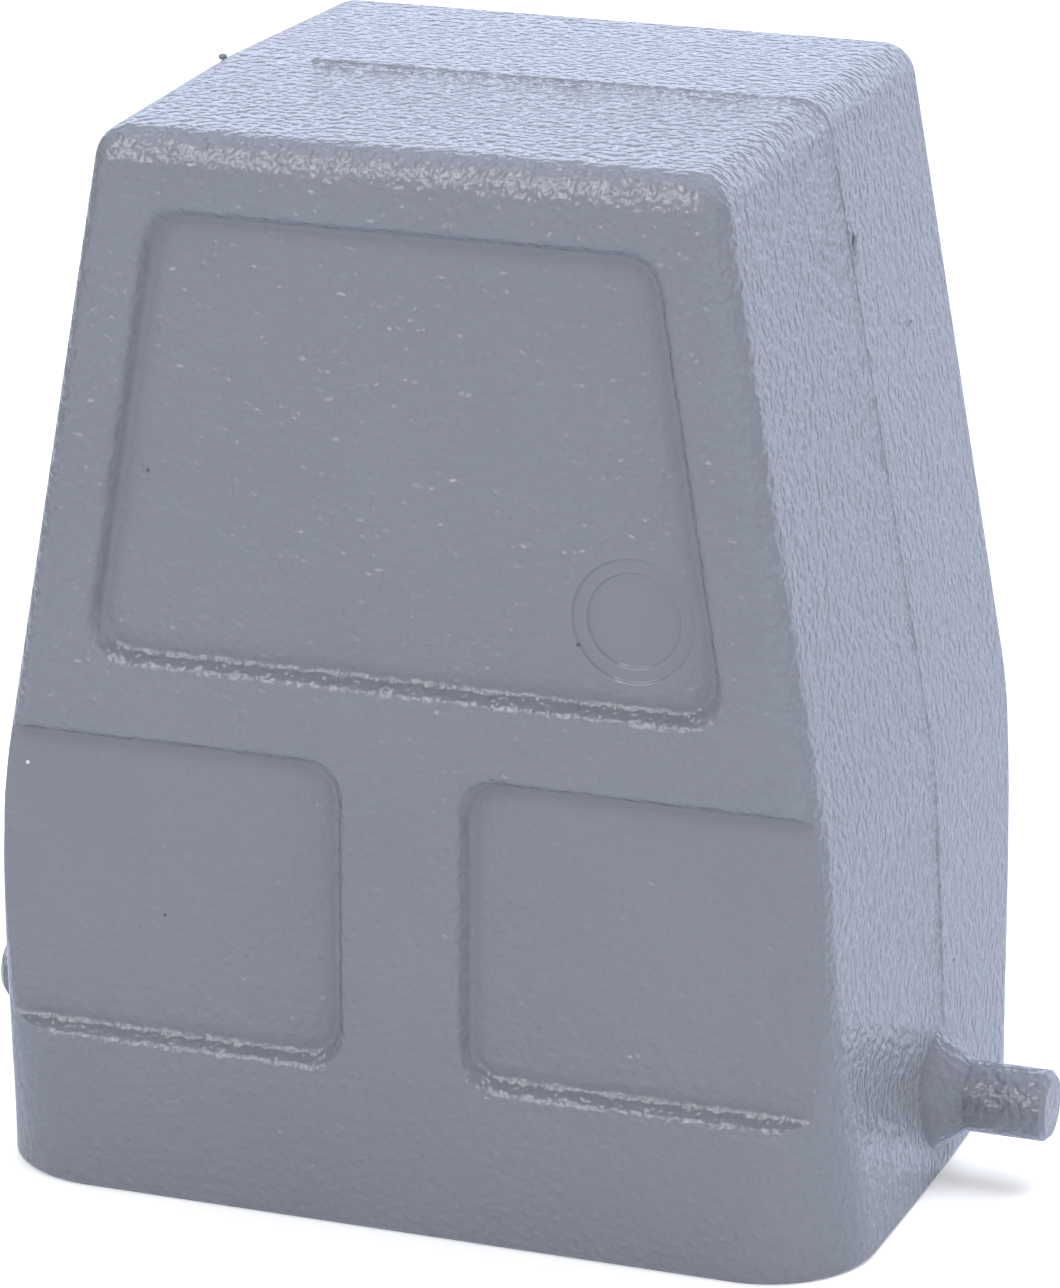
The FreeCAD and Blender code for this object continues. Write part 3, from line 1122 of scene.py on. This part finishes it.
@dataclass
class Lumps:
    """Lumps of one kind, made of uneven balls that are sunk half into the surface."""

    name: str
    lumps: tuple[Lump, ...]
    uneven: float = 0.12
    uneven_size: float = 0.0004
    subdivisions: int = 4
    seed: float = 5.0

    def source(self) -> bpy.types.Mesh:
        """A vertex for each lump, with its half-sizes.

        Returns:
            The mesh.
        """
        mesh = bpy.data.meshes.new(self.name + "_places")
        mesh.from_pydata([lump.place for lump in self.lumps], [], [])
        attribute = mesh.attributes.new("half_size", "FLOAT_VECTOR", "POINT")
        attribute.data.foreach_set("vector", [value for lump in self.lumps for value in lump.size])
        return mesh

    def recipe(self) -> Recipe:
        """Tree that puts an uneven ball on each place.

        Returns:
            The tree.
        """
        tree = Recipe(self.name, {
            "Uneven": "NodeSocketFloat",
            "Uneven Size": "NodeSocketFloat",
            "Subdivisions": "NodeSocketInt",
            "Seed": "NodeSocketFloat",
            "Material": "NodeSocketMaterial",
        })
        given = tree.given
        size = tree.add("GeometryNodeInputNamedAttribute", {"Name": "half_size"}, data_type="FLOAT_VECTOR")
        ball = tree.add("GeometryNodeMeshIcoSphere", {"Radius": 1.0, "Subdivisions": given["Subdivisions"]}).outputs[0]
        placed = tree.add("GeometryNodeInstanceOnPoints", {
            "Points": given["Geometry"],
            "Instance": ball,
            "Scale": size.outputs[0],
        }).outputs[0]
        real = tree.add("GeometryNodeRealizeInstances", {0: placed}).outputs[0]
        bulge = tree.maths("MULTIPLY", tree.noise(given["Uneven Size"], given["Seed"]), given["Uneven"])
        bulge = tree.maths("MULTIPLY", bulge, given["Uneven Size"])
        offset = tree.scaled(tree.add("GeometryNodeInputNormal").outputs[0], bulge)
        shaped = tree.add("GeometryNodeSetPosition", {"Geometry": real, "Offset": offset}).outputs[0]
        tree.finish(shaped)
        return tree

    def build(self, material: bpy.types.Material) -> bpy.types.Object:
        """Makes the lumps.

        Args:
            material: their finish.

        Returns:
            The lumps as one piece.
        """
        piece = self.recipe().make(self.name, self.source(), {
            "Uneven": self.uneven,
            "Uneven Size": self.uneven_size,
            "Subdivisions": self.subdivisions,
            "Seed": self.seed,
            "Material": material,
        })
        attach(piece, "root")
        return piece


@dataclass
class CastingMarks:
    """Nubs on the parting line, and dust that was caught in the coat."""

    nubs: tuple[Lump, ...] = (
        Lump((-0.02035, 0.0, 0.07108), (0.00028, 0.00024, 0.00022)),
        Lump((0.02242, 0.0013, 0.06130), (0.00021, 0.0008, 0.0013)),
        Lump((0.02256, 0.0005, 0.06060), (0.00015, 0.00025, 0.0006)),
        Lump((0.02350, 0.01056, 0.05445), (0.00003, 0.0006, 0.0003)),
    )
    dark: Dust = Dust("dark_dust", (0.075, 0.077, 0.090))
    dark_dust: tuple[Lump, ...] = (
        Lump((-0.01729, -0.02023, 0.04908), (0.00013, 0.00003, 0.00013)),
        Lump((0.01153, -0.02033, 0.04080), (0.00014, 0.00003, 0.00013)),
        Lump((-0.01660, -0.02058, 0.01931), (0.00012, 0.00003, 0.00010)),
        Lump((0.02906, 0.00206, 0.01495), (0.00003, 0.00030, 0.00014)),
        Lump((0.02912, 0.00431, 0.01321), (0.00003, 0.00025, 0.00010)),
    )
    pale: Dust = Dust("pale_dust", (0.62, 0.63, 0.66))
    pale_dust: tuple[Lump, ...] = (
        Lump((-0.02607, -0.02047, 0.02858), (0.00013, 0.00004, 0.00013)),
    )

    def build(self, coat: bpy.types.Material) -> list[bpy.types.Object]:
        """Makes the nubs in the casting's coat, and the dust in its own finishes.

        Args:
            coat: the casting's finish.

        Returns:
            The pieces.
        """
        return [
            Lumps("casting_nubs", self.nubs).build(coat),
            Lumps("dark_dust", self.dark_dust).build(self.dark.build()),
            Lumps("pale_dust", self.pale_dust).build(self.pale.build()),
        ]


def main() -> None:
    """Builds the camera, the studio and the casting with its details."""
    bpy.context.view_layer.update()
    View().build()
    Studio().build()
    coat = PowderCoat().build()
    shell = HoodShell()
    casting = shell.build()
    Threads().cut(casting, coat)
    shell.smooth(casting)
    shell.dress(casting, coat)
    LOG.info("built %s", casting.name)
    ridge = PartingLine().build(coat)
    LOG.info("built %s", ridge.name)
    for piece in CastingMarks().build(coat):
        LOG.info("built %s", piece.name)


if __name__ == "__main__":
    logging.basicConfig(level=logging.INFO)
    main()
